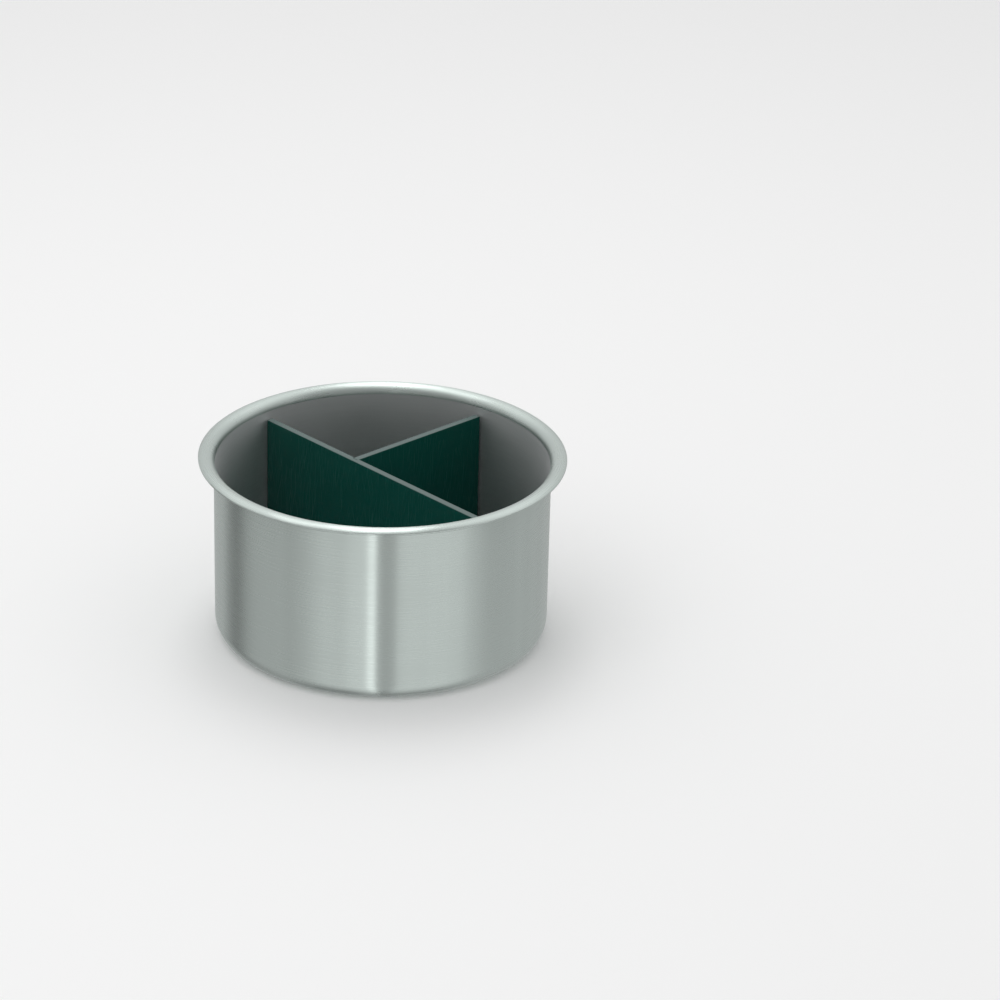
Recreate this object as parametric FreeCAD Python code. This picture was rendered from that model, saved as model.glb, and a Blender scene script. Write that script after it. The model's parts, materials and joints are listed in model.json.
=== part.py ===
"""Drop-in cutlery holder: a deep round steel bowl that hangs by its rim in a round cut-out,
with two loose plastic plates that stand in it and make three compartments.

Millimetres. +Z is up and the origin is the centre of the bowl's base. The long plate lies along X
close beside the bowl's axis, and the short plate runs along Y from the long one to the wall.
"""
import FreeCAD, Part

import math
import os

from FreeCAD import Vector

# Bowl: one sheet, drawn deep, with its rim spread outwards
SHEET = 1.0                    # thickness of the steel
RIM_RADIUS = 160.0             # outermost edge of the rim
WALL_RADIUS = 146.5            # outside of the straight wall, which passes through the cut-out
SEAT_HEIGHT = 163.5            # from the base up to the rim's underside, by which the bowl hangs
RIM_RISE = 4.5                 # crown of the rim above its underside
MOUTH_BEND = 8.5               # rounding from the rim's crown into the wall, on the side that shows
LIP_ROUND = 1.2                # rounding of the rim's outer edge, where the sheet turns under
HEM_WIDTH = 4.0                # flat of the edge that is turned under, which the rim rests on
FLOOR_CORNER = 15.0            # rounding from the floor into the wall, inside

# Plates
PLATE = 6.0                    # thickness of both plates
PLATE_DROP = 11.0              # from the plates' top edges up to the rim's underside
LONG_Y = -6.5                  # the long plate's middle stands this far beside the bowl's axis
WALL_CLEARANCE = 0.8           # from a plate's end to the bowl's wall
PLATE_CORNER = 20.0            # rounding of the bottom corners at the wall
PLATE_TIP = 1.0                # rounding of the top corners
EDGE_ROUND = 0.5               # softened edges of the plates

# Joint between the plates: a groove in the long one that takes the short one's edge
JUNCTION_X = -30.0             # the short plate stands this far from the bowl's axis
GROOVE_DEPTH = 2.0
GROOVE_CLEARANCE = 0.1         # each side of the short plate in the groove
TONGUE_DEPTH = 1.7             # how far the short plate reaches into the groove
GROOVE_FLOOR = 12.0            # the groove stops this far above the long plate's bottom edge
TONGUE_LIFT = 0.3              # from the groove's floor to the tongue

# Points nearer than this are one point
TOUCHING = 1e-6

# Worked out from the above
INNER_RADIUS = WALL_RADIUS - SHEET
RIM_TOP = SEAT_HEIGHT + RIM_RISE
PLATE_REACH = INNER_RADIUS - WALL_CLEARANCE
PLATE_BOTTOM = SHEET
PLATE_TOP = SEAT_HEIGHT - PLATE_DROP
PLATE_HEIGHT = PLATE_TOP - PLATE_BOTTOM


class Profile:
    """A closed outline in the X-Z half plane, drawn edge by edge from a starting point."""

    def __init__(self, x, z):
        self.start = (x, z)
        self.here = (x, z)
        self.edges = []

    def line(self, x, z):
        a, b = self.here, (x, z)
        self.edges.append(Part.makeLine(Vector(a[0], 0, a[1]), Vector(b[0], 0, b[1])))
        self.here = b
        return self

    def arc(self, centre, radius, first, last):
        """Run on round a circle from one angle to another, in degrees from +X towards +Z."""
        def on_circle(angle):
            turn = math.radians(angle)
            return (centre[0] + radius * math.cos(turn), centre[1] + radius * math.sin(turn))

        a, b = on_circle(first), on_circle(last)
        middle = on_circle((first + last) / 2)
        if math.dist(self.here, a) > TOUCHING:
            self.line(*a)
        points = [Vector(p[0], 0, p[1]) for p in (a, middle, b)]
        self.edges.append(Part.Arc(*points).toShape())
        self.here = b
        return self

    def face(self):
        if math.dist(self.here, self.start) > TOUCHING:
            self.line(*self.start)
        return Part.Face(Part.Wire(self.edges))


def make_bowl():
    """The shell: floor, corner, wall, mouth bend and hemmed rim as one turned section."""
    corner = (INNER_RADIUS - FLOOR_CORNER, SHEET + FLOOR_CORNER)
    mouth = (INNER_RADIUS + MOUTH_BEND, RIM_TOP - MOUTH_BEND)
    lip = (RIM_RADIUS - LIP_ROUND, SEAT_HEIGHT + LIP_ROUND)
    # The crown starts level at the bend's top and runs smoothly into the lip, which sets its radius
    width = lip[0] - mouth[0]
    crown_radius = ((width ** 2 + RIM_RISE ** 2 - 2 * RIM_RISE * LIP_ROUND)
                    / (2 * (RIM_RISE - 2 * LIP_ROUND)))
    crown = (mouth[0], RIM_TOP - crown_radius)
    fall = math.degrees(math.atan2(lip[1] - crown[1], width))
    hem_end = lip[0] - HEM_WIDTH

    outline = Profile(0, SHEET)
    # The side that shows from above, from the floor's centre out to the rim's edge
    outline.arc(corner, FLOOR_CORNER, -90, 0)
    outline.arc(mouth, MOUTH_BEND, 180, 90)
    outline.arc(crown, crown_radius, 90, fall)
    outline.arc(lip, LIP_ROUND, fall, -90)
    # The hem, and back along the underside to the base
    outline.line(hem_end, SEAT_HEIGHT).line(hem_end, SEAT_HEIGHT + SHEET)
    outline.arc(lip, LIP_ROUND - SHEET, -90, fall)
    outline.arc(crown, crown_radius - SHEET, fall, 90)
    outline.arc(mouth, MOUTH_BEND - SHEET, 90, 180)
    outline.arc(corner, FLOOR_CORNER + SHEET, 0, -90)
    outline.line(0, 0)
    return outline.face().revolve(Vector(0, 0, 0), Vector(0, 0, 1), 360)


def plate_outline(near, far, near_corner):
    """A plate's face: both top corners tipped, the far bottom corner rounded to clear the bowl.
    The near bottom corner is rounded alike, or square where it stands against the other plate."""
    low, high = PLATE_BOTTOM, PLATE_TOP
    outline = Profile(near + near_corner, low)
    outline.arc((far - PLATE_CORNER, low + PLATE_CORNER), PLATE_CORNER, -90, 0)
    outline.arc((far - PLATE_TIP, high - PLATE_TIP), PLATE_TIP, 0, 90)
    if near_corner:
        outline.arc((near + PLATE_TIP, high - PLATE_TIP), PLATE_TIP, 90, 180)
        outline.arc((near + near_corner, low + near_corner), near_corner, 180, 270)
    else:
        outline.line(near, high)
    return outline.face()


def soften(plate, keep):
    """Round the long edges of a plate's two faces, where the test on an edge's middle allows."""
    edges = []
    for edge in plate.Edges:
        middle = edge.CenterOfMass
        if abs(abs(middle.y) - PLATE / 2) < TOUCHING and keep(middle):
            edges.append(edge)
    return plate.makeFillet(EDGE_ROUND, edges)


def make_long_divider():
    reach = math.sqrt(PLATE_REACH ** 2 - (abs(LONG_Y) + PLATE / 2) ** 2)
    face = plate_outline(-reach, reach, PLATE_CORNER)
    face.translate(Vector(0, -PLATE / 2, 0))
    plate = soften(face.extrude(Vector(0, PLATE, 0)), lambda middle: True)
    groove_width = PLATE + 2 * GROOVE_CLEARANCE
    groove_bottom = PLATE_BOTTOM + GROOVE_FLOOR
    groove = Part.makeBox(
        groove_width, GROOVE_DEPTH, PLATE_HEIGHT,
        Vector(JUNCTION_X - groove_width / 2, PLATE / 2 - GROOVE_DEPTH, groove_bottom))
    plate = plate.cut(groove)
    plate.translate(Vector(0, LONG_Y, 0))
    return plate


def make_short_divider():
    """Drawn along X beside the axis, then turned a quarter so that it runs along +Y."""
    outer_side = abs(JUNCTION_X) + PLATE / 2
    far = math.sqrt(PLATE_REACH ** 2 - outer_side ** 2)
    long_face = LONG_Y + PLATE / 2
    near = long_face + GROOVE_CLEARANCE
    face = plate_outline(near, far, 0)
    face.translate(Vector(0, -PLATE / 2, 0))
    plate = soften(face.extrude(Vector(0, PLATE, 0)), lambda middle: middle.x > near + TOUCHING)
    tongue_x = long_face - TONGUE_DEPTH
    tongue_bottom = PLATE_BOTTOM + GROOVE_FLOOR + TONGUE_LIFT
    tongue = Part.makeBox(
        near + EDGE_ROUND - tongue_x, PLATE, PLATE_TOP - EDGE_ROUND - tongue_bottom,
        Vector(tongue_x, -PLATE / 2, tongue_bottom))
    plate = plate.fuse(tongue).removeSplitter()
    plate.rotate(Vector(0, 0, 0), Vector(0, 0, 1), 90)
    plate.translate(Vector(JUNCTION_X, 0, 0))
    return plate


NODES = {
    "bowl": make_bowl,
    "long_divider": make_long_divider,
    "short_divider": make_short_divider,
}


def main():
    os.makedirs("parts", exist_ok=True)
    for name, make in NODES.items():
        shape = make()
        box = shape.optimalBoundingBox(False, False)
        print(name, "valid", shape.isValid(), "solids", len(shape.Solids),
              "volume", round(shape.Volume), "mm3",
              "x", round(box.XMin, 2), round(box.XMax, 2),
              "y", round(box.YMin, 2), round(box.YMax, 2),
              "z", round(box.ZMin, 2), round(box.ZMax, 2))
        shape.Solids[0].exportStep(os.path.join("parts", name + ".step"))


if __name__ == "__main__":
    main()
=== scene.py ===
# %% [markdown]
# This holder is a deep round bowl of drawn steel that hangs by its rim in a round cut-out. Two
# loose plates of dark green plastic stand in it and make three compartments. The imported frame
# already holds the three solids at their real size. This file gives them their finish: finer
# surfaces for each piece, brushed steel and glossy plastic, and a small studio to see them in.

import json
import math

import bmesh
import bpy
import numpy as np
from mathutils import Matrix, Vector

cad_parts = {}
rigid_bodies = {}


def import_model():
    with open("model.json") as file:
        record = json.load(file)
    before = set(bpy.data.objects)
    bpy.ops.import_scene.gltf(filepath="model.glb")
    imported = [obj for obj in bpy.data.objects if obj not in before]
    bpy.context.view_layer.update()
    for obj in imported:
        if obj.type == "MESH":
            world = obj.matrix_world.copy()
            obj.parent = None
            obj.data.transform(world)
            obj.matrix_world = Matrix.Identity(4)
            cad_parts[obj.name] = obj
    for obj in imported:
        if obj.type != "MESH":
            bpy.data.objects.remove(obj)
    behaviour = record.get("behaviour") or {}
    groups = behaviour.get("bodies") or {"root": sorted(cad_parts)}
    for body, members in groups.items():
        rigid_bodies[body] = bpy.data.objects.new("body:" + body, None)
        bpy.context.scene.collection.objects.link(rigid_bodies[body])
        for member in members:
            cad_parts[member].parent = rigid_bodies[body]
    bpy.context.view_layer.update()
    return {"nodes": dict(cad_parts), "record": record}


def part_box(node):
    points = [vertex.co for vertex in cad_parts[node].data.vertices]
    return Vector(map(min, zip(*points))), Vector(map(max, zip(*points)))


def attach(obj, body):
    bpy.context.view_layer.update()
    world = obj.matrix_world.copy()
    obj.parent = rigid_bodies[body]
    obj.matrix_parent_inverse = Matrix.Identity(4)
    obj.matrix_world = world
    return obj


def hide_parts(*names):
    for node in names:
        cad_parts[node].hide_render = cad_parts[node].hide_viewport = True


for leftover in [item for item in bpy.data.objects if item.name in ("Cube", "Light", "Camera")]:
    bpy.data.objects.remove(leftover)
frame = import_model()
print("nodes in the frame:", sorted(frame["nodes"]))

# %% [markdown]
# Every size comes from the frame where it can be read there: a node's box gives the rim and the
# plates, and the record's mounts give the wall and the height of the rim's underside. The small
# radii can't be read from a box, so they are named here, as real sizes.

# %% Sizes read from the frame
MM = 0.001
mounts = {mount["name"]: mount for mount in frame["record"]["mounts"]}
bowl_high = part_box("bowl")[1]
long_low, long_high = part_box("long_divider")
short_low, short_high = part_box("short_divider")

RIM_RADIUS = bowl_high.x
RIM_TOP = bowl_high.z
SEAT_HEIGHT = mounts["rim_seat"]["pos_m"][2]
WALL_RADIUS = mounts["cutout_body"]["dims"]["r_mm"] * MM
SHEET = long_low.z
INNER_RADIUS = WALL_RADIUS - SHEET
PLATE = long_high.y - long_low.y
LONG_Y = (long_low.y + long_high.y) / 2
PLATE_TOP = long_high.z
LONG_REACH = long_high.x
SHORT_NEAR = short_low.y
SHORT_FAR = short_high.y
JUNCTION_X = (short_low.x + short_high.x) / 2
print(f"rim {2 * RIM_RADIUS / MM:.0f} mm across, {RIM_TOP / MM:.1f} mm high")
print(f"sheet {SHEET / MM:.1f} mm thick")
print(f"plates {PLATE / MM:.1f} mm thick, up to {PLATE_TOP / MM:.0f} mm")

# %% Small radii of the bowl and the plates
FLOOR_CORNER = 15 * MM     # floor into wall, inside
MOUTH_BEND = 8.5 * MM      # wall into rim, on the side that shows
LIP_ROUND = 1.2 * MM       # rim's outer edge, where the sheet turns under
HEM_WIDTH = 4 * MM         # the edge that is turned under
PLATE_CORNER = 20 * MM     # bottom corners of the plates
PLATE_TIP = 1 * MM         # top corners of the plates
EDGE_ROUND = 0.5 * MM      # softened long edges of the plates
GROOVE_DEPTH = 2 * MM
GROOVE_CLEARANCE = 0.1 * MM
GROOVE_FLOOR = SHEET + 12 * MM
TONGUE_LIFT = 0.3 * MM
TONGUE_START = LONG_Y + PLATE / 2 + GROOVE_CLEARANCE

# %% [markdown]
# A smooth surface in Blender is a grid of points in two directions. One helper takes such a grid
# as a numpy array and makes the mesh, so every piece below is only a formula for its points. Where
# a grid's edge shrinks to one point, as at the middle of the bowl's floor, the points that fall
# together are merged. The helper prints the volume, which is positive when all faces look out.

# %% A mesh from a grid of points
MERGE_DISTANCE = 0.0005 * MM
SHARP_ANGLE = math.radians(40)


def grid_faces(rows, columns, close_rows, close_columns):
    """Four corner numbers for each cell between neighbouring rows and columns of the grid."""
    number = np.arange(rows * columns).reshape(rows, columns)
    if close_rows:
        number = np.vstack([number, number[:1]])
    if close_columns:
        number = np.hstack([number, number[:, :1]])
    corners = [number[:-1, :-1], number[:-1, 1:], number[1:, 1:], number[1:, :-1]]
    return np.stack(corners, axis=-1).reshape(-1, 4)


def grid_object(name, points, close_rows=False, close_columns=False, marks=None):
    """A smooth shaded object from an array of points, rows by columns by 3. marks is a number for
    each point, kept as the attribute "cut_edge"."""
    rows, columns = points.shape[:2]
    mesh = bpy.data.meshes.new(name)
    mesh.from_pydata(points.reshape(-1, 3), [], grid_faces(rows, columns, close_rows, close_columns))
    if marks is not None:
        mesh.attributes.new("cut_edge", "FLOAT", "POINT")
        mesh.attributes["cut_edge"].data.foreach_set("value", marks.astype(np.float32).ravel())
    build = bmesh.new()
    build.from_mesh(mesh)
    bmesh.ops.remove_doubles(build, verts=build.verts, dist=MERGE_DISTANCE)
    bmesh.ops.recalc_face_normals(build, faces=build.faces)
    volume = build.calc_volume(signed=True)
    open_edges = sum(not edge.is_manifold for edge in build.edges)
    build.to_mesh(mesh)
    build.free()
    mesh.polygons.foreach_set("use_smooth", np.ones(len(mesh.polygons), bool))
    mesh.set_sharp_from_angle(angle=SHARP_ANGLE)
    made = bpy.data.objects.new(name, mesh)
    bpy.context.scene.collection.objects.link(made)
    print(f"{name}: {len(mesh.vertices)} points, {len(mesh.polygons)} faces, "
          f"{open_edges} open edges, {volume / MM ** 3:.0f} mm3")
    return made


# %% Arcs and straight runs of a section
EDGE_LOOP = 0.3 * MM       # a straight run has one more point this close to each of its ends
RUN_POINTS = 4             # evenly spaced points between those two


def arc(centre, radius, first, last, count):
    """Points round a circle: its centre plus its radius times (cosine, sine) of an angle that
    grows evenly from first to last, in degrees."""
    turn = np.radians(np.linspace(first, last, count))
    return np.stack([centre[0] + radius * np.cos(turn), centre[1] + radius * np.sin(turn)], axis=1)


def run(start, end):
    """Points inside a straight run, without its ends: one close to each end, which keeps the
    shading of the flat part flat, and some evenly spaced between them."""
    close = EDGE_LOOP / math.dist(start, end)
    share = np.linspace(close, 1 - close, RUN_POINTS + 2)
    return start + share[:, None] * (end - start)


# %% [markdown]
# The bowl is one sheet, so its section is one closed outline: out along the floor's top, up the
# wall, over the rim, under its hem and back down the outside. The rim is rolled: a wide bend comes
# up from the wall, and a crown falls from the bend's top and runs smoothly into the small rounding
# of the lip. The crown's radius follows from that. Turning the outline round the upright axis
# gives the whole shell with its true thickness. A Screw modifier could turn it too, but a formula
# keeps the same number of points at every radius and closes both poles exactly.

# %% The bowl's section
CORNER_ARC_POINTS = 28
RIM_ARC_POINTS = 12        # mouth bend and crown
LIP_ARC_POINTS = 14
HEM_ARC_POINTS = 6         # the lip's inner side
LONGEST_STEP = 4 * EDGE_LOOP  # a straight part that is longer than this gets points of its own
corner_centre = (INNER_RADIUS - FLOOR_CORNER, SHEET + FLOOR_CORNER)
mouth_centre = (INNER_RADIUS + MOUTH_BEND, RIM_TOP - MOUTH_BEND)
lip_centre = (RIM_RADIUS - LIP_ROUND, SEAT_HEIGHT + LIP_ROUND)
crown_width = lip_centre[0] - mouth_centre[0]
rise = RIM_TOP - SEAT_HEIGHT
crown_radius = (crown_width ** 2 + rise ** 2 - 2 * rise * LIP_ROUND) / (2 * (rise - 2 * LIP_ROUND))
crown_centre = (mouth_centre[0], RIM_TOP - crown_radius)
fall = math.degrees(math.atan2(lip_centre[1] - crown_centre[1], crown_width))
hem_end = lip_centre[0] - HEM_WIDTH
hem_top = SEAT_HEIGHT + SHEET
print(f"the rim's crown: radius {crown_radius / MM:.1f} mm, falls by {90 - fall:.0f} degrees")


def bowl_section():
    """Radius and height along the outline, arcs joined by straight runs, from the middle of the
    floor's top side to the middle of its underside."""
    floor_start = np.array([[0, SHEET]])
    floor_end = np.array([[0, 0]])
    inside = [
        arc(corner_centre, FLOOR_CORNER, -90, 0, CORNER_ARC_POINTS),
        arc(mouth_centre, MOUTH_BEND, 180, 90, RIM_ARC_POINTS),
        arc(crown_centre, crown_radius, 90, fall, RIM_ARC_POINTS)[1:],
        arc(lip_centre, LIP_ROUND, fall, -90, LIP_ARC_POINTS)[1:],
    ]
    under = [
        np.array([[hem_end, SEAT_HEIGHT]]),
        np.array([[hem_end, hem_top]]),
        arc(lip_centre, LIP_ROUND - SHEET, -90, fall, HEM_ARC_POINTS),
        arc(crown_centre, crown_radius - SHEET, fall, 90, RIM_ARC_POINTS)[1:],
        arc(mouth_centre, MOUTH_BEND - SHEET, 90, 180, RIM_ARC_POINTS)[1:],
        arc(corner_centre, FLOOR_CORNER + SHEET, 0, -90, CORNER_ARC_POINTS),
    ]
    parts = [floor_start, *inside, *under, floor_end]
    outline = [parts[0]]
    for before, after in zip(parts[:-1], parts[1:]):
        if math.dist(before[-1], after[0]) > LONGEST_STEP:
            outline.append(run(before[-1], after[0]))
        outline.append(after)
    return np.vstack(outline)


section = bowl_section()
print("points in the bowl's section:", len(section))

# %% Turn the section round the upright axis
BOWL_SIDES = 288


def turned(outline, sides):
    """Point (row, column) is (radius * cosine, radius * sine, height), with the outline's radius
    and height for the row and an even share of the full turn for the column."""
    turn = np.linspace(0, 2 * math.pi, sides, endpoint=False)
    radius, height = outline[:, :1], outline[:, 1:]
    flat = np.zeros_like(turn)
    return np.stack([radius * np.cos(turn), radius * np.sin(turn), height + flat], axis=-1)


bowl = grid_object("bowl_shell", turned(section, BOWL_SIDES), close_columns=True)

# %% [markdown]
# Each divider is cut from flat sheet, with rounded bottom corners that clear the bowl's own corner
# and softened edges. A cube with a bevel would round every edge alike. Here the side view's
# outline is the path, and a small profile across the thickness is carried along it: in from the
# face, round the edge, across, and round to the other face. The two flat faces run in from there
# to a line along the plate's middle, where they close.

# %% The outline of a plate's side view
GROOVE_WALL = 0.03 * MM    # the groove's sides lean by this much, so that no two points coincide
SMALL_CORNER = 0.6 * MM    # corners of the short plate's inner edge
CORNER_POINTS = 24         # round a bottom corner at the wall
TIP_POINTS = 8             # round a top corner
SMALL_CORNER_POINTS = 6
LONG_STATIONS = 13         # points along a level edge of the long plate
SHORT_STATIONS = 7         # and of the short one
SIDE_STATIONS = 6          # and along an upright edge, its ends counted
side_stops = np.linspace(SHEET + PLATE_CORNER, PLATE_TOP, SIDE_STATIONS)[1:-1]


def bend(centre, radius, first, last, count, hollow=False):
    """Points of an arc with the direction that looks into the plate: towards the centre, or away
    from it where the arc is hollow."""
    points = arc(centre, radius, first, last, count)
    inward = (np.array(centre) - points) / radius
    return points, -inward if hollow else inward


def straight(start, end, stops=()):
    """Points of a straight run without its ends: one close to each end, and one at each stop, which
    is an x for a level run and a z for an upright one. The direction that looks into the plate is
    the one to the left of the run."""
    start, end = np.array(start), np.array(end)
    length = np.linalg.norm(end - start)
    along = (end - start) / length
    axis = int(np.abs(along).argmax())
    share = (np.array(stops, float) - start[axis]) / (end[axis] - start[axis])
    share = np.unique(np.concatenate([share, [EDGE_LOOP / length, 1 - EDGE_LOOP / length]]).round(9))
    points = start + share[:, None] * (end - start)
    return points, np.broadcast_to([-along[1], along[0]], points.shape)


def joined(pieces):
    """One closed path from pieces of it: all points, and all inward directions."""
    return np.vstack([piece[0] for piece in pieces]), np.vstack([piece[1] for piece in pieces])


def far_end(reach):
    """The end of a plate that stands at the wall: round bottom corner, upright edge, tipped top."""
    low, tip = reach - PLATE_CORNER, reach - PLATE_TIP
    return [
        bend((low, SHEET + PLATE_CORNER), PLATE_CORNER, -90, 0, CORNER_POINTS),
        straight((reach, SHEET + PLATE_CORNER), (reach, PLATE_TOP - PLATE_TIP), side_stops),
        bend((tip, PLATE_TOP - PLATE_TIP), PLATE_TIP, 0, 90, TIP_POINTS),
    ]


def long_outline(spine, groove_edges):
    """Round the long plate, anticlockwise from the left end of its bottom edge. spine is where the
    faces' middle line starts and ends."""
    beside_ends = np.array(spine) + [EDGE_LOOP, -EDGE_LOOP]
    stations = np.concatenate([np.linspace(*spine, LONG_STATIONS), groove_edges, beside_ends])
    right = far_end(LONG_REACH)
    left = [(points[::-1] * [-1, 1], inward[::-1] * [-1, 1]) for points, inward in right[::-1]]
    tip = LONG_REACH - PLATE_TIP
    below = stations[np.abs(stations) < spine[1]]
    bottom = straight((spine[0], SHEET), (spine[1], SHEET), below)
    top = straight((tip, PLATE_TOP), (-tip, PLATE_TOP), stations)
    return joined([bottom, *right, top, *left])


def short_outline(spine):
    """Round the short plate, anticlockwise from the bottom of its inner edge, whose upper part
    steps out into the tongue that goes in the groove."""
    small, step = SMALL_CORNER, GROOVE_FLOOR + TONGUE_LIFT
    stations = np.concatenate([np.linspace(*spine, SHORT_STATIONS), [spine[1] - EDGE_LOOP]])
    foot, near, tip = TONGUE_START, SHORT_NEAR, SHORT_FAR - PLATE_TIP
    return joined([
        straight((foot + small, SHEET), (spine[1], SHEET), stations[stations < spine[1]]),
        *far_end(SHORT_FAR),
        straight((tip, PLATE_TOP), (near + small, PLATE_TOP), stations),
        bend((near + small, PLATE_TOP - small), small, 90, 180, SMALL_CORNER_POINTS),
        straight((near, PLATE_TOP - small), (near, step + small), side_stops),
        bend((near + small, step + small), small, 180, 270, SMALL_CORNER_POINTS),
        bend((foot - small, step - small), small, 90, 0, SMALL_CORNER_POINTS, hollow=True),
        straight((foot, step - small), (foot, SHEET + small)),
        bend((foot + small, SHEET + small), small, 180, 270, SMALL_CORNER_POINTS),
    ])


# %% Carry the edge profile along the outline
EDGE_STEPS = 6


def edge_profile():
    """Across the thickness: how far in from the outline, and how far from the plate's middle.
    The rounding at each face is a quarter circle."""
    turn = np.linspace(0, math.pi / 2, EDGE_STEPS)
    inset = EDGE_ROUND * (1 - np.sin(turn))
    offset = PLATE / 2 - EDGE_ROUND * (1 - np.cos(turn))
    flat = PLATE / 2 - EDGE_ROUND - EDGE_LOOP
    half_inset = np.concatenate([inset, [0]])
    half_offset = np.concatenate([offset, [flat]])
    return (np.concatenate([half_inset, half_inset[::-1]]),
            np.concatenate([half_offset, -half_offset[::-1]]))


def plate_points(outline, inward, spine_from, spine_to, rings):
    """Side-view place and offset from the plate's middle, for each outline point by each step of
    the profile. rings are the shares of the way from the edge to the spine at which the faces
    have a row of points: 0 is beside the rounding, 1 is on the spine."""
    inset, offset = edge_profile()
    rounded = outline[:, None, :] + inset[None, :, None] * inward[:, None, :]
    start = outline + (EDGE_ROUND + EDGE_LOOP) * inward
    spine_height = (SHEET + PLATE_TOP) / 2
    spine = np.stack([np.clip(outline[:, 0], spine_from, spine_to),
                      np.full(len(outline), spine_height)], axis=1)
    share = np.array(rings)[None, :, None]
    face = start[:, None, :] + share * (spine - start)[:, None, :]
    side_view = np.concatenate([face[:, ::-1], rounded, face], axis=1)
    half = np.full(len(rings), PLATE / 2)
    across = np.concatenate([half, offset, -half])
    across = np.broadcast_to(across, side_view.shape[:2]).copy()
    edge = np.concatenate([np.zeros(len(rings)), 1 - inset / EDGE_ROUND, np.zeros(len(rings))])
    return side_view, across, np.broadcast_to(edge, across.shape)


# %% The long plate, with its groove
groove_half = PLATE / 2 + GROOVE_CLEARANCE
groove_edges = JUNCTION_X + np.array([-groove_half, -groove_half + GROOVE_WALL,
                                      groove_half - GROOVE_WALL, groove_half])
spine_end = LONG_REACH - PLATE_CORNER
outline, inward = long_outline((-spine_end, spine_end), groove_edges)
first_row = SHEET + EDGE_ROUND + EDGE_LOOP
half_height = (SHEET + PLATE_TOP) / 2 - first_row
groove_share = (GROOVE_FLOOR - first_row) / half_height
wall_share = GROOVE_WALL / half_height
side_view, across, edge = plate_points(outline, inward, -spine_end, spine_end,
                                       [0, groove_share, groove_share + wall_share, 1])
tolerance = GROOVE_WALL / 4
from_junction = np.abs(side_view[..., 0] - JUNCTION_X)
in_groove = (from_junction < groove_half - GROOVE_WALL + tolerance) & (across > 0)
in_groove &= side_view[..., 1] > GROOVE_FLOOR + tolerance
across = np.where(in_groove, across - GROOVE_DEPTH, across)
points = np.stack([side_view[..., 0], LONG_Y + across, side_view[..., 1]], axis=-1)
long_plate = grid_object("long_plate", points, close_rows=True, marks=edge)

# %% The short plate, with its tongue
spine = (SHORT_NEAR + PLATE_CORNER, SHORT_FAR - PLATE_CORNER)
outline, inward = short_outline(spine)
side_view, across, edge = plate_points(outline, inward, *spine, [0, 1])
points = np.stack([JUNCTION_X + across, side_view[..., 0], side_view[..., 1]], axis=-1)
short_plate = grid_object("short_plate", points, close_rows=True, marks=edge)

# %% [markdown]
# A material is a tree of nodes. Its maths reads better as Python, so a small class stands for one
# output of the tree and turns +, -, * and / into Math nodes. Every node but the tree's output comes
# from one method, which takes the node's type, its settings and what goes into its sockets.

# %% Node trees written as Python
class Value:
    """One output in a node tree. Arithmetic on it adds a Math node and gives that node's output."""

    def __init__(self, tree, socket):
        self.tree = tree
        self.socket = socket

    def __add__(self, other):
        return self.tree.math("ADD", self, other)

    def __sub__(self, other):
        return self.tree.math("SUBTRACT", self, other)

    def __rsub__(self, other):
        return self.tree.math("SUBTRACT", other, self)

    def __mul__(self, other):
        return self.tree.math("MULTIPLY", self, other)

    def __truediv__(self, other):
        return self.tree.math("DIVIDE", self, other)

    __radd__ = __add__
    __rmul__ = __mul__


class Tree:
    """The nodes of one material or of the world."""

    def __init__(self, owner):
        owner.use_nodes = True
        self.name = owner.name
        self.tree = owner.node_tree
        self.tree.nodes.clear()

    def node(self, kind, settings=None, inputs=None, output=0):
        """Add a node, set its settings, then give each input its number, colour or link."""
        made = self.tree.nodes.new(kind)
        for name, value in (settings or {}).items():
            setattr(made, name, value)
        for name, value in (inputs or {}).items():
            if isinstance(value, Value):
                self.tree.links.new(value.socket, made.inputs[name])
            else:
                made.inputs[name].default_value = value
        return Value(self, made.outputs[output])

    def math(self, operation, *inputs):
        """A Math node: the operation on one or two inputs."""
        return self.node("ShaderNodeMath", {"operation": operation}, dict(enumerate(inputs)))

    def noise(self, vector, detail, scale=1.0, roughness=0.5):
        """Soft random values about 0.5 that change over a distance of one divided by scale. detail
        is how many finer layers are added, and roughness how strong they are."""
        inputs = {"Vector": vector, "Scale": scale, "Detail": detail, "Roughness": roughness}
        return self.node("ShaderNodeTexNoise", {}, inputs)

    def vector(self, x, y, z):
        """The vector (x, y, z)."""
        return self.node("ShaderNodeCombineXYZ", {}, {0: x, 1: y, 2: z})

    def between(self, value, low, high):
        """0 where the value is under low, 1 where it is over high, and a smooth rise between. With
        low above high it is the other way round."""
        settings = {"interpolation_type": "SMOOTHSTEP"}
        inputs = {"Value": value, "From Min": low, "From Max": high}
        return self.node("ShaderNodeMapRange", settings, inputs)

    def blend(self, factor, first, second):
        """A colour between two colours."""
        inputs = {0: factor, 6: first, 7: second}
        return self.node("ShaderNodeMix", {"data_type": "RGBA"}, inputs, output=2)

    def split(self, vector):
        """The vector's x, y and z."""
        made = self.node("ShaderNodeSeparateXYZ", {}, {0: vector}).socket.node
        return [Value(self, socket) for socket in made.outputs]

    def place(self):
        """The point's place on the object in metres, as a vector and as its x, y and z."""
        point = self.node("ShaderNodeTexCoord", output="Object")
        return point, *self.split(point)

    def finish(self, surface, output="ShaderNodeOutputMaterial"):
        """Send the shader to the tree's output."""
        made = self.tree.nodes.new(output)
        self.tree.links.new(surface.socket, made.inputs["Surface"])
        print(f"{self.name}: {len(self.tree.nodes)} nodes")


def new_material(name):
    """A material and its tree, which has no nodes yet."""
    material = bpy.data.materials.new(name)
    return material, Tree(material)


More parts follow.
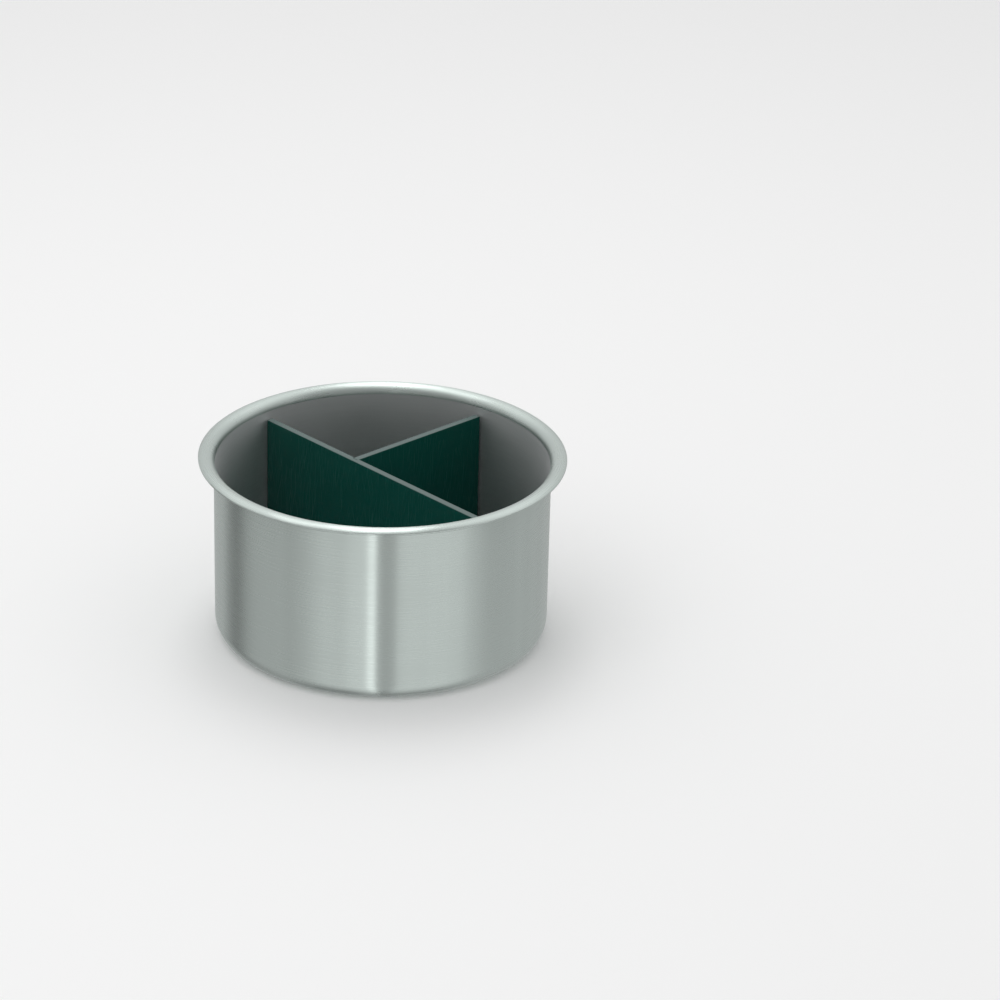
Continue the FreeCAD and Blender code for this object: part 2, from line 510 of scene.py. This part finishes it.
# %% [markdown]
# Outside, the steel is brushed round the bowl, so a highlight on it spreads up and down and stays
# narrow sideways: that is the upright streaks that such a wall shows. The shader's own anisotropy
# makes the spread. The brushing that can be seen as lines is noise, stretched along the
# circumference: its first two coordinates are the direction from the axis, which has no seam, and
# its third is height minus radius, which grows steadily up the wall and in across floor and rim.
# Inside, the wall and the floor are satin: the wall is soft enough to show no mirror image of the
# plates, and the floor has fine straight scratches from what is dropped in. The inside wall is
# painted paler than the outside of the same sheet: that is painted light, which lifts the shade
# inside the bowl. Each of the three finishes is one call, and every face of the shell gets the
# finish of the part that it lies on.

# %% Colours and marks of the steel
STEEL = (0.65, 0.72, 0.69, 1)
STEEL_SHADE = (0.61, 0.68, 0.65, 1)
# Painted light: the inside wall's colours are paler than the outside's, to lift the shade in the
# bowl
INSIDE_PAINTED_LIGHT = (0.85, 0.86, 0.86, 1)
INSIDE_PAINTED_LIGHT_DARKER = (0.74, 0.75, 0.75, 1)
FLOOR_STEEL = (0.64, 0.65, 0.645, 1)
FLOOR_SHADE = (0.56, 0.57, 0.565, 1)
BRUSH_LENGTH = 45 * MM      # bands of the brushing: how long they are
BRUSH_PITCH = 1.1 * MM      # and how far apart
HAIR_LENGTH = 22 * MM       # fine lines on top of them
HAIR_PITCH = 0.22 * MM
AXIS_KEEP = 4 * MM          # closer to the axis than this the lines stop getting shorter
SCRATCH_LENGTH = 28 * MM
SCRATCH_WIDTH = 0.35 * MM
SCRATCH_RARITY = 0.70       # the noise value that a scratch has to pass
SCRATCH_FADE = 0.05         # and how far past it a scratch is at its full strength
SCRATCH_SHIFT = 10          # moves each direction's scratches to another part of the noise
STEEL_CLOUDS = 16           # soft clouds to a metre


def brushing(tree, x, y, z, radius, length, pitch, detail):
    """Lines round the axis, about as long as length and pitch apart."""
    from_axis = tree.math("MAXIMUM", radius, AXIS_KEEP)
    turns = INNER_RADIUS / length
    along = (z - radius) / pitch
    place = tree.vector(x / from_axis * turns, y / from_axis * turns, along)
    return tree.noise(place, detail=detail)


def hairlines(tree, u, v, angle, length, width, rarity):
    """Thin straight scratches on a flat face: 1 on a line, 0 beside it. rarity is the noise value
    that a line has to pass."""
    across = v * math.cos(angle) - u * math.sin(angle)
    along = u * math.cos(angle) + v * math.sin(angle)
    shift = SCRATCH_SHIFT * angle
    lines = tree.noise(tree.vector(along / length, across / width, shift), detail=0)
    return tree.between(lines, rarity, rarity + SCRATCH_FADE)


# %% A steel finish
BAND_TONE = 0.6             # what bands, hairlines and clouds add to the mix of the two colours
HAIR_TONE = 0.5
CLOUD_TONE = 0.4
TONE_SHIFT = 0.25           # taken off again, so that both colours get an even share
ROUGH_SPREAD = 0.06         # how far each of the three takes the roughness up and down
SCRATCH_ROUGHNESS = 0.12    # how much rougher a scratch is
BAND_HEIGHT = 0.4           # what bands, hairlines and scratches do to the relief
HAIR_HEIGHT = 0.6
SCRATCH_DEPTH = 0.8
STEEL_BUMP = 0.02 * MM      # the depth that the relief stands for
STEEL_BUMP_STRENGTH = 0.024
QUARTER_TURN = 0.25         # highlights spread across the brushing, up and down the wall


def brushed_steel(name, colours, roughness, anisotropy, scratch_angles=()):
    """One finish of the steel. Bands, hairlines and clouds mix its two colours and vary its
    roughness about the given value. Scratches run at the given angles, in radians from +X."""
    material, tree = new_material(name)
    point, x, y, z = tree.place()
    radius = tree.math("SQRT", x * x + y * y)
    bands = brushing(tree, x, y, z, radius, BRUSH_LENGTH, BRUSH_PITCH, detail=3)
    hairs = brushing(tree, x, y, z, radius, HAIR_LENGTH, HAIR_PITCH, detail=2)
    cloud = tree.noise(point, detail=3, scale=STEEL_CLOUDS)
    scratches = sum(hairlines(tree, x, y, angle, SCRATCH_LENGTH, SCRATCH_WIDTH, SCRATCH_RARITY)
                    for angle in scratch_angles)
    tone = bands * BAND_TONE + hairs * HAIR_TONE + cloud * CLOUD_TONE - TONE_SHIFT
    rough = roughness + scratches * SCRATCH_ROUGHNESS
    for pattern in (bands, hairs, cloud):
        rough = rough + (pattern - 0.5) * ROUGH_SPREAD
    height = hairs * HAIR_HEIGHT + bands * BAND_HEIGHT - scratches * SCRATCH_DEPTH
    bump = tree.node("ShaderNodeBump", {}, {
        "Strength": STEEL_BUMP_STRENGTH, "Distance": STEEL_BUMP, "Height": height})
    shader = tree.node("ShaderNodeBsdfPrincipled", {}, {
        "Base Color": tree.blend(tone, *colours), "Metallic": 1.0, "Roughness": rough,
        "Normal": bump, "Anisotropic": anisotropy, "Anisotropic Rotation": QUARTER_TURN})
    tree.finish(shader)
    return material


wall_steel = brushed_steel("steel_brushed_round", (STEEL_SHADE, STEEL),
                           roughness=0.28, anisotropy=1.0)
floor_steel = brushed_steel("steel_satin_floor", (FLOOR_SHADE, FLOOR_STEEL),
                            roughness=0.50, anisotropy=0.0, scratch_angles=(0.3, 1.4, 2.3))
# The inside wall takes the paler colours, which are painted light against the shade in the bowl
inside_steel_painted_light = brushed_steel("steel_satin_inside", (INSIDE_PAINTED_LIGHT_DARKER, INSIDE_PAINTED_LIGHT),
                             roughness=0.58, anisotropy=0.4)


# %% Which face has which finish
def finish_numbers(mesh):
    """A number for each face, from the radius and height of its middle: 1 on both sides of the
    flat floor, 2 on the inside from there up to the mouth's bend, and 0 on all the rest."""
    middles = np.empty(len(mesh.polygons) * 3, np.float32)
    mesh.polygons.foreach_get("center", middles)
    x, y, height = middles.reshape(-1, 3).T
    radius = np.hypot(x, y)
    flat_floor = (radius < corner_centre[0]) & (height < 2 * SHEET)
    from_corner = np.hypot(radius - corner_centre[0], height - corner_centre[1])
    inside = (height > corner_centre[1]) | (from_corner < FLOOR_CORNER + SHEET / 2)
    inside &= (radius < INNER_RADIUS + SHEET / 2) & (height > SHEET / 2) & (height < mouth_centre[1])
    return np.where(flat_floor, 1, 2 * inside).astype(np.int32)


for finish in (wall_steel, floor_steel, inside_steel_painted_light):
    bowl.data.materials.append(finish)
numbers = finish_numbers(bowl.data)
bowl.data.polygons.foreach_set("material_index", numbers)
print("faces with each finish of the steel:", np.bincount(numbers).tolist())

# %% [markdown]
# The dividers are cut from one smooth sheet of dark green plastic with a soft gloss. Things that
# are dropped in and pulled out leave faint upright scuffs on the faces. The sawn edges are rougher,
# with fine marks across them, and paler: partly their own colour and partly a painted highlight,
# which stands for the light that the top edges catch. The mark that the mesh carries says where
# they are.

# %% Green plastic
GREEN = (0.0006, 0.063, 0.048, 1)
GREEN_SHADE = (0.0004, 0.053, 0.041, 1)
# The edge colour is the sawn edge's own paleness together with a painted highlight
EDGE_GREEN_AND_HIGHLIGHT = (0.165, 0.205, 0.200, 1)
PLASTIC_ROUGHNESS = 0.20
PLASTIC_CLOUDS = 22         # soft clouds to a metre
SCUFF_ANGLES = (1.35, 1.55, 1.8)  # radians from level
SCUFF_LENGTH = 30 * MM
SCUFF_WIDTH = 0.4 * MM
SCUFF_RARITY = 0.71
SAW_MARK = 0.5 * MM
EDGE_AND_HIGHLIGHT_TONE = 0.45            # how much of the edge's colour shows between the saw's marks
SAW_TONE = 0.5              # and how much more on them
CLOUD_ROUGHNESS = 0.12      # how much each pattern changes the roughness
SCUFF_ROUGHNESS = 0.08
EDGE_ROUGHNESS = 0.06
SAW_ROUGHNESS = 0.12
CLOUD_HEIGHT = 0.3          # and the relief
SCUFF_DEPTH = 0.2
PLASTIC_BUMP = 0.03 * MM
PLASTIC_BUMP_STRENGTH = 0.2
PLASTIC_IOR = 1.45
PLASTIC_SPECULAR = 0.25     # 0.5 is the mirror strength that the index alone gives


def green_plastic():
    """The plates' finish. x + y is a place along either plate, since one lies along x and the
    other along y."""
    material, tree = new_material("plastic_green_gloss")
    point, x, y, z = tree.place()
    along = x + y
    edge = tree.node("ShaderNodeAttribute", {"attribute_name": "cut_edge"}, output="Fac")
    cloud = tree.noise(point, detail=3, scale=PLASTIC_CLOUDS)
    scuffs = sum(hairlines(tree, along, z, angle, SCUFF_LENGTH, SCUFF_WIDTH, SCUFF_RARITY)
                 for angle in SCUFF_ANGLES)
    sawn = tree.noise(tree.vector(along / SAW_MARK, z / SAW_MARK, 0.0), detail=1)
    face = tree.blend(cloud, GREEN_SHADE, GREEN)
    # the edges' paler colour is partly a painted highlight
    colour = tree.blend(edge * (EDGE_AND_HIGHLIGHT_TONE + sawn * SAW_TONE), face, EDGE_GREEN_AND_HIGHLIGHT)
    rough = PLASTIC_ROUGHNESS + (cloud - 0.5) * CLOUD_ROUGHNESS + scuffs * SCUFF_ROUGHNESS
    rough = rough + edge * (EDGE_ROUGHNESS + sawn * SAW_ROUGHNESS)
    height = cloud * CLOUD_HEIGHT - scuffs * SCUFF_DEPTH + edge * sawn
    bump = tree.node("ShaderNodeBump", {}, {
        "Strength": PLASTIC_BUMP_STRENGTH, "Distance": PLASTIC_BUMP, "Height": height})
    shader = tree.node("ShaderNodeBsdfPrincipled", {}, {
        "Base Color": colour, "Roughness": rough, "Normal": bump, "IOR": PLASTIC_IOR,
        "Specular IOR Level": PLASTIC_SPECULAR})
    tree.finish(shader)
    return material


plastic = green_plastic()
long_plate.data.materials.append(plastic)
short_plate.data.materials.append(plastic)

# %% [markdown]
# The camera stands where the photograph was taken from. The rim's ellipse, the outline of the body
# and the top edge of the long plate were fitted together: they give a view from 24 degrees above, a
# long lens three to four metres away, and a camera that leans by a little over half a degree. The
# holder isn't in the middle of the picture. The camera is turned a little to the side and down for
# that, which needs no lens shift.

# %% Camera
PICTURE = 1000             # width and height of the photograph, in pixels
PIXELS_PER_METRE = 1152    # the scale of the photograph at the rim
RIM_PIXEL = (382.9, 456.7)  # middle of the rim's underside in the photograph
VIEW_AZIMUTH = math.radians(48.0)
VIEW_ELEVATION = math.radians(24.4)
VIEW_ROLL = math.radians(0.65)
LENS = 135                 # millimetres
SENSOR = 36                # millimetres

focal = LENS / SENSOR * PICTURE
distance = focal / PIXELS_PER_METRE
target = np.array([0, 0, SEAT_HEIGHT])


def direction(azimuth, elevation):
    """The way from the object to a place at that azimuth, which is 0 at -Y and grows towards +X."""
    level = math.cos(elevation)
    return np.array([math.sin(azimuth) * level, -math.cos(azimuth) * level, math.sin(elevation)])


to_camera = direction(VIEW_AZIMUTH, VIEW_ELEVATION)
sideways = np.array([math.cos(VIEW_AZIMUTH), math.sin(VIEW_AZIMUTH), 0])
upward = np.cross(to_camera, sideways)
right = math.cos(VIEW_ROLL) * sideways + math.sin(VIEW_ROLL) * upward
up = math.cos(VIEW_ROLL) * upward - math.sin(VIEW_ROLL) * sideways
turn_right = (PICTURE / 2 - RIM_PIXEL[0]) / focal
turn_down = (PICTURE / 2 - RIM_PIXEL[1]) / focal
back = Vector(to_camera - turn_right * right + turn_down * up).normalized()
up = back.cross(Vector(right)).normalized()
right = up.cross(back)
camera_data = bpy.data.cameras.new("camera")
camera_data.lens = LENS
camera_data.sensor_width = SENSOR
camera = bpy.data.objects.new("camera", camera_data)
bpy.context.scene.collection.objects.link(camera)
camera.location = target + distance * to_camera
camera.rotation_euler = Matrix((right, up, back)).transposed().to_euler()
bpy.context.scene.camera = camera
print(f"camera {distance:.2f} m away")

# %% [markdown]
# The studio is a pale floor, a soft lamp high above that leans to the back, a wide weak one beside
# it, a third in front, and a plain pale room. The room is the world. Its brightness varies with
# direction, as a real studio's does, because steel shows only what is round it. A wide window with
# a brighter right pane, a bright narrow strip with a soft shoulder, two darker gaps and a ripple
# give the wall its upright streaks. These fade out above eye level, where the rim looks: there the
# ceiling is bright behind the holder and the room is darker on the camera's side. It is darker
# straight below too, which the underside shows. What the camera sees directly is an even pale grey,
# and the floor isn't seen in the steel.

# %% Floor
FLOOR_SIZE = 14            # metres
FLOOR_COLOUR = (0.95, 0.95, 0.95, 1)
FLOOR_ROUGHNESS = 0.9


def floor_object():
    """A flat square grid of points about the origin."""
    line = np.linspace(-FLOOR_SIZE / 2, FLOOR_SIZE / 2, 3)
    x, y = np.meshgrid(line, line, indexing="ij")
    floor = grid_object("floor", np.stack([x, y, np.zeros_like(x)], axis=-1))
    material, tree = new_material("floor_pale")
    tree.finish(tree.node("ShaderNodeBsdfPrincipled", {}, {
        "Base Color": FLOOR_COLOUR, "Roughness": FLOOR_ROUGHNESS}))
    floor.data.materials.append(material)
    return floor


floor = floor_object()
floor.visible_glossy = False

# %% Room, by direction
ROOM_MIRRORED = 0.50       # what the pieces mirror before light is added and taken away
RIPPLE_SCALE = 9           # how fine the ripple is
RIPPLE = 0.30              # and how strong
CEILING_LIGHT = 0.40       # what the ceiling and the far wall add
FAR_WALL_LIGHT = 0.20
NEAR_WALL_DARK = 0.22      # what the near wall and the ground take away
GROUND_DARK = 0.35
NEVER_ZERO = 0.001         # for the division, straight above and straight below

world = bpy.data.worlds.new("room")
bpy.context.scene.world = world
tree = Tree(world)
way_x, way_y, way_z = tree.split(tree.node("ShaderNodeTexCoord", output="Generated"))


def towards(azimuth):
    """How far a direction points to an azimuth: the length of its level part, times the cosine of
    the angle between that part and the azimuth."""
    return way_x * math.sin(azimuth) - way_y * math.cos(azimuth)


def band(middle, half_width, softness, brightness):
    """An upright band of light, or of dark where the brightness is negative. It reaches half_width
    degrees to both sides of an azimuth that is middle degrees to the right of the camera's, and
    fades out from softness before its edge to softness past it."""
    level = tree.math("SQRT", way_x * way_x + way_y * way_y)
    cosine = towards(VIEW_AZIMUTH + math.radians(middle)) / tree.math("MAXIMUM", level, NEVER_ZERO)
    low = math.cos(math.radians(half_width + softness))
    high = math.cos(math.radians(max(half_width - softness, 0)))
    return tree.between(cosine, low, high) * brightness


# Middle, half width and softness in degrees, then brightness
window = band(8, 58, 14, 0.28)
right_pane = band(33, 22, 9, 0.07)
shoulder = band(-14, 7, 6, 0.12)
strip = band(-6.5, 2.4, 0.8, 0.74)
front_gap = band(3.5, 7, 1.0, -0.26)
side_gap = band(-117, 9, 6, -0.32)
ripple_place = tree.vector(way_x * RIPPLE_SCALE, way_y * RIPPLE_SCALE, 0.0)
ripple = tree.noise(ripple_place, detail=4, roughness=0.7)
upright = window + right_pane + shoulder + strip + front_gap + side_gap + (ripple - 0.5) * RIPPLE

# The other parts are limited by height, which is the direction's z, and by how far it points to the
# camera's side
to_camera_side = towards(VIEW_AZIMUTH)
low_down = tree.between(way_z, 0.25, -0.05)
ceiling = tree.between(way_z, 0.35, 0.75) * tree.between(to_camera_side, 0.30, -0.05)
far_wall = tree.between(way_z, -0.05, 0.10) * tree.between(to_camera_side, 0.05, -0.25)
near_wall = tree.between(way_z, 0.0, 0.2) * tree.between(to_camera_side, 0.35, 0.6)
ground = tree.between(way_z, -0.82, -0.99)
mirrored = (ROOM_MIRRORED + upright * low_down + ceiling * CEILING_LIGHT + far_wall * FAR_WALL_LIGHT
            - near_wall * NEAR_WALL_DARK - ground * GROUND_DARK)

# %% Room, by kind of ray
ROOM_SEEN = 0.94           # what the camera sees
ROOM_LIGHT = 0.74          # what lights dull surfaces

camera_ray, glossy_ray, through_ray = [
    tree.node("ShaderNodeLightPath", output=f"Is {kind} Ray")
    for kind in ("Camera", "Glossy", "Transmission")]
reflected = glossy_ray + through_ray
strength = camera_ray * ROOM_SEEN + reflected * mirrored + (1 - camera_ray - reflected) * ROOM_LIGHT
background = tree.node("ShaderNodeBackground", {}, {"Color": (1, 1, 1, 1), "Strength": strength})
tree.finish(background, "ShaderNodeOutputWorld")

# %% Lamps
def softbox(name, azimuth, elevation, away, width, height, brightness):
    """A rectangular lamp that faces the rim. Its azimuth counts from the camera's and its elevation
    from level, both in degrees, and its distance and size are in metres. Its power is pi times its
    area times its brightness, so that brightness is what a mirror would show, with 1 for white."""
    lamp = bpy.data.lights.new(name, "AREA")
    lamp.shape = "RECTANGLE"
    lamp.size, lamp.size_y = width, height
    lamp.energy = math.pi * width * height * brightness
    made = bpy.data.objects.new(name, lamp)
    bpy.context.scene.collection.objects.link(made)
    way = direction(VIEW_AZIMUTH + math.radians(azimuth), math.radians(elevation))
    made.location = target + away * way
    made.rotation_euler = Vector(way).to_track_quat("Z", "Y").to_euler()
    made.visible_camera = False
    print(f"{name}: {lamp.energy:.1f} watts")
    return made


softbox("lamp_behind", azimuth=180, elevation=70, away=2.4, width=0.7, height=1.4, brightness=2.0)
softbox("lamp_above", azimuth=-110, elevation=75, away=2.4, width=1.6, height=1.6, brightness=0.8)
lamp_front = softbox("lamp_front", azimuth=-40, elevation=48, away=2.6, width=1.4, height=1.4,
                     brightness=0.9)
lamp_front.visible_glossy = False
bpy.context.scene.view_settings.view_transform = "Standard"

# %% [markdown]
# Last, each piece rides on the body that it belongs to and stands for that body's plain solid.

# %% Put the pieces on the frame
for piece, body, slot in [(bowl, "bowl", "steel"),
                          (long_plate, "long_divider", "divider_plastic"),
                          (short_plate, "short_divider", "divider_plastic")]:
    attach(piece, body)
    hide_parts(body)
